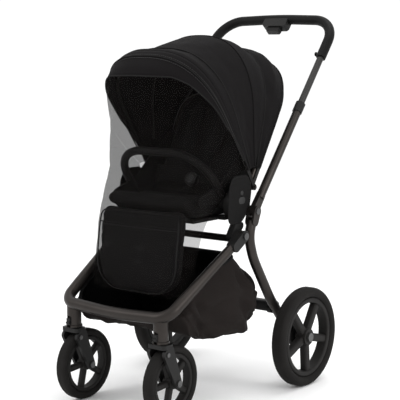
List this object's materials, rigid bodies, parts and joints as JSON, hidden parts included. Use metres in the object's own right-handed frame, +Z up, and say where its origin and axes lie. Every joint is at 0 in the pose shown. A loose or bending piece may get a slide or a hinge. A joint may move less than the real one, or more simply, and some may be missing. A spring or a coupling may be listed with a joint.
{
  "type": "pet stroller",
  "caption": "Folding four wheel stroller with a hooded reclining seat, leg rest, bumper bar, insect net, under-seat basket, swivelling front wheels and a telescopic push handle.",
  "frame": {"origin": "on the ground under the middle of the whole object", "axes": "+Z up, front towards -Y, +X to the left of the person who pushes it"},
  "size_m": [0.5694, 0.8456, 1.0852],
  "materials": {
    "frame_tube": "satin anodised dark bronze",
    "inner_tube": "satin anodised dark grey",
    "moulded_plastic": "fine moulded grain",
    "button_plastic": "satin",
    "bolt_steel": "blackened",
    "wheel_plastic": "matte, fibre filled",
    "tyre_foam": "matte closed foam",
    "grip_leatherette": "fine grained leatherette",
    "bumper_leatherette": "fine grained leatherette",
    "hood_fabric": "plain woven, near black",
    "seat_fabric": "plain woven, near black",
    "basket_fabric": "plain woven, brown charcoal",
    "net_mesh": "fine see-through net",
    "webbing": "ribbed webbing"
  },
  "bodies": {
    "chassis": {"front_frame": "frame_tube", "hub_brackets": "moulded_plastic", "hub_pins": "bolt_steel", "seat_adaptors": "moulded_plastic", "caster_post_left": "frame_tube", "caster_post_right": "frame_tube", "basket": "basket_fabric"},
    "rear_legs": {"rear_leg_left": "frame_tube", "rear_leg_right": "frame_tube", "rear_cross_tube": "frame_tube", "rear_cross_member": "moulded_plastic", "brake_housings": "moulded_plastic", "rear_axles": "bolt_steel", "handle_pins": "bolt_steel"},
    "brake_pedal": {"brake_pedal": "moulded_plastic"},
    "handle_lower": {"handle_tube_left": "frame_tube", "handle_tube_right": "frame_tube", "telescope_collars": "moulded_plastic"},
    "handle_upper": {"handle_bar": "inner_tube", "handle_grip": "grip_leatherette", "grip_housing": "moulded_plastic", "strap_stud": "moulded_plastic"},
    "release_button": {"release_button": "moulded_plastic"},
    "seat": {"seat_hubs": "moulded_plastic", "seat_base": "moulded_plastic", "seat_pad": "seat_fabric", "crotch_strap": "webbing", "insect_net": "net_mesh"},
    "leg_rest": {"leg_rest_panel": "moulded_plastic", "leg_rest_pad": "seat_fabric"},
    "bumper_bar": {"bumper_bar": "bumper_leatherette"},
    "backrest": {"backrest_frame": "frame_tube", "backrest_panel": "moulded_plastic", "backrest_pad": "seat_fabric", "harness_straps": "webbing", "buckle": "moulded_plastic", "hood_bow_rear": "moulded_plastic", "hood_back_panel": "hood_fabric"},
    "recline_handle": {"recline_handle": "moulded_plastic"},
    "buckle_button": {"buckle_button": "button_plastic"},
    "hood_mid": {"hood_bow_mid": "moulded_plastic", "hood_mid_panel": "hood_fabric"},
    "hood_front": {"hood_bow_front": "moulded_plastic", "hood_front_panel": "hood_fabric"},
    "front_fork_left": {"front_fork_left": "moulded_plastic", "front_axle_left": "bolt_steel"},
    "front_wheel_left": {"front_rim_left": "wheel_plastic", "front_tyre_left": "tyre_foam"},
    "rear_wheel_left": {"rear_rim_left": "wheel_plastic", "rear_tyre_left": "tyre_foam"},
    "seat_button_left": {"seat_button_left": "button_plastic"},
    "swivel_lock_left": {"swivel_lock_left": "moulded_plastic"},
    "front_fork_right": {"front_fork_right": "moulded_plastic", "front_axle_right": "bolt_steel"},
    "front_wheel_right": {"front_rim_right": "wheel_plastic", "front_tyre_right": "tyre_foam"},
    "rear_wheel_right": {"rear_rim_right": "wheel_plastic", "rear_tyre_right": "tyre_foam"},
    "seat_button_right": {"seat_button_right": "button_plastic"},
    "swivel_lock_right": {"swivel_lock_right": "moulded_plastic"}
  },
  "joints": [
    {"name": "handle_fold", "type": "hinge", "parent": "rear_legs", "child": "handle_lower", "pos_m": [0, -0.022, 0.532], "axis": [1, 0, 0], "range_deg": [0, 149]},
    {"name": "rear_leg_fold", "type": "hinge", "parent": "chassis", "child": "rear_legs", "pos_m": [0, -0.076, 0.468], "axis": [1, 0, 0], "range_deg": [-30, 0], "deforming": ["basket"]},
    {"name": "handle_extend", "type": "slide", "parent": "handle_lower", "child": "handle_upper", "axis": [0, 0.6239, 0.7815], "range_m": [-0.12, 0.04]},
    {"name": "release_button_press", "type": "slide", "parent": "handle_upper", "child": "release_button", "axis": [0, 0.6239, 0.7815], "range_m": [0, 0.004], "stiffness_N_per_m": 600, "springref_m": -0.002},
    {"name": "brake_pedal_press", "type": "hinge", "parent": "rear_legs", "child": "brake_pedal", "pos_m": [0, 0.132, 0.234], "axis": [1, 0, 0], "range_deg": [-22, 0]},
    {"name": "seat_lift_off", "type": "slide", "parent": "chassis", "child": "seat", "axis": [0, 0, 1], "range_m": [0, 0.06]},
    {"name": "leg_rest_tilt", "type": "hinge", "parent": "seat", "child": "leg_rest", "pos_m": [0, -0.24, 0.528], "axis": [1, 0, 0], "range_deg": [-70, 0], "deforming": ["insect_net"]},
    {"name": "bumper_bar_swing", "type": "hinge", "parent": "seat", "child": "bumper_bar", "pos_m": [0, -0.084, 0.556], "axis": [1, 0, 0], "range_deg": [0, 38]},
    {"name": "backrest_recline", "type": "hinge", "parent": "seat", "child": "backrest", "pos_m": [0, 0, 0.56], "axis": [1, 0, 0], "range_deg": [-30, 8]},
    {"name": "recline_handle_pull", "type": "slide", "parent": "backrest", "child": "recline_handle", "axis": [0, 0.4802, 0.8771], "range_m": [0, 0.012], "stiffness_N_per_m": 300, "springref_m": -0.004},
    {"name": "buckle_press", "type": "slide", "parent": "backrest", "child": "buckle_button", "axis": [0, 0.8771, -0.4802], "range_m": [0, 0.003], "stiffness_N_per_m": 500, "springref_m": -0.001},
    {"name": "hood_mid_fold", "type": "hinge", "parent": "backrest", "child": "hood_mid", "pos_m": [0, 0.01825, 0.59333], "axis": [1, 0, 0], "range_deg": [-27, 4]},
    {"name": "hood_front_fold", "type": "hinge", "parent": "hood_mid", "child": "hood_front", "pos_m": [0, 0.01825, 0.59333], "axis": [1, 0, 0], "range_deg": [-27, 4], "deforming": ["insect_net"]},
    {"name": "front_swivel_left", "type": "hinge", "parent": "chassis", "child": "front_fork_left", "pos_m": [0.157, -0.3615, 0.21], "axis": [0, 0, 1], "continuous": true},
    {"name": "front_wheel_spin_left", "type": "hinge", "parent": "front_fork_left", "child": "front_wheel_left", "pos_m": [0.157, -0.323, 0.1], "axis": [1, 0, 0], "continuous": true},
    {"name": "rear_wheel_spin_left", "type": "hinge", "parent": "rear_legs", "child": "rear_wheel_left", "pos_m": [0.2607, 0.169, 0.145], "axis": [1, 0, 0], "continuous": true},
    {"name": "seat_button_press_left", "type": "slide", "parent": "seat", "child": "seat_button_left", "axis": [-1, 0, 0], "range_m": [0, 0.0024], "stiffness_N_per_m": 500, "springref_m": -0.001},
    {"name": "swivel_lock_slide_left", "type": "slide", "parent": "chassis", "child": "swivel_lock_left", "axis": [0, 0, -1], "range_m": [0, 0.006]},
    {"name": "front_swivel_right", "type": "hinge", "parent": "chassis", "child": "front_fork_right", "pos_m": [-0.157, -0.3615, 0.21], "axis": [0, 0, 1], "continuous": true},
    {"name": "front_wheel_spin_right", "type": "hinge", "parent": "front_fork_right", "child": "front_wheel_right", "pos_m": [-0.157, -0.323, 0.1], "axis": [1, 0, 0], "continuous": true},
    {"name": "rear_wheel_spin_right", "type": "hinge", "parent": "rear_legs", "child": "rear_wheel_right", "pos_m": [-0.2607, 0.169, 0.145], "axis": [1, 0, 0], "continuous": true},
    {"name": "seat_button_press_right", "type": "slide", "parent": "seat", "child": "seat_button_right", "axis": [1, 0, 0], "range_m": [0, 0.0024], "stiffness_N_per_m": 500, "springref_m": -0.001},
    {"name": "swivel_lock_slide_right", "type": "slide", "parent": "chassis", "child": "swivel_lock_right", "axis": [0, 0, -1], "range_m": [0, 0.006]}
  ],
  "couplings": [
    {"joint": "rear_leg_fold", "follows": "handle_fold", "ratio": -0.2},
    {"joint": "hood_front_fold", "follows": "hood_mid_fold", "ratio": 1}
  ]
}
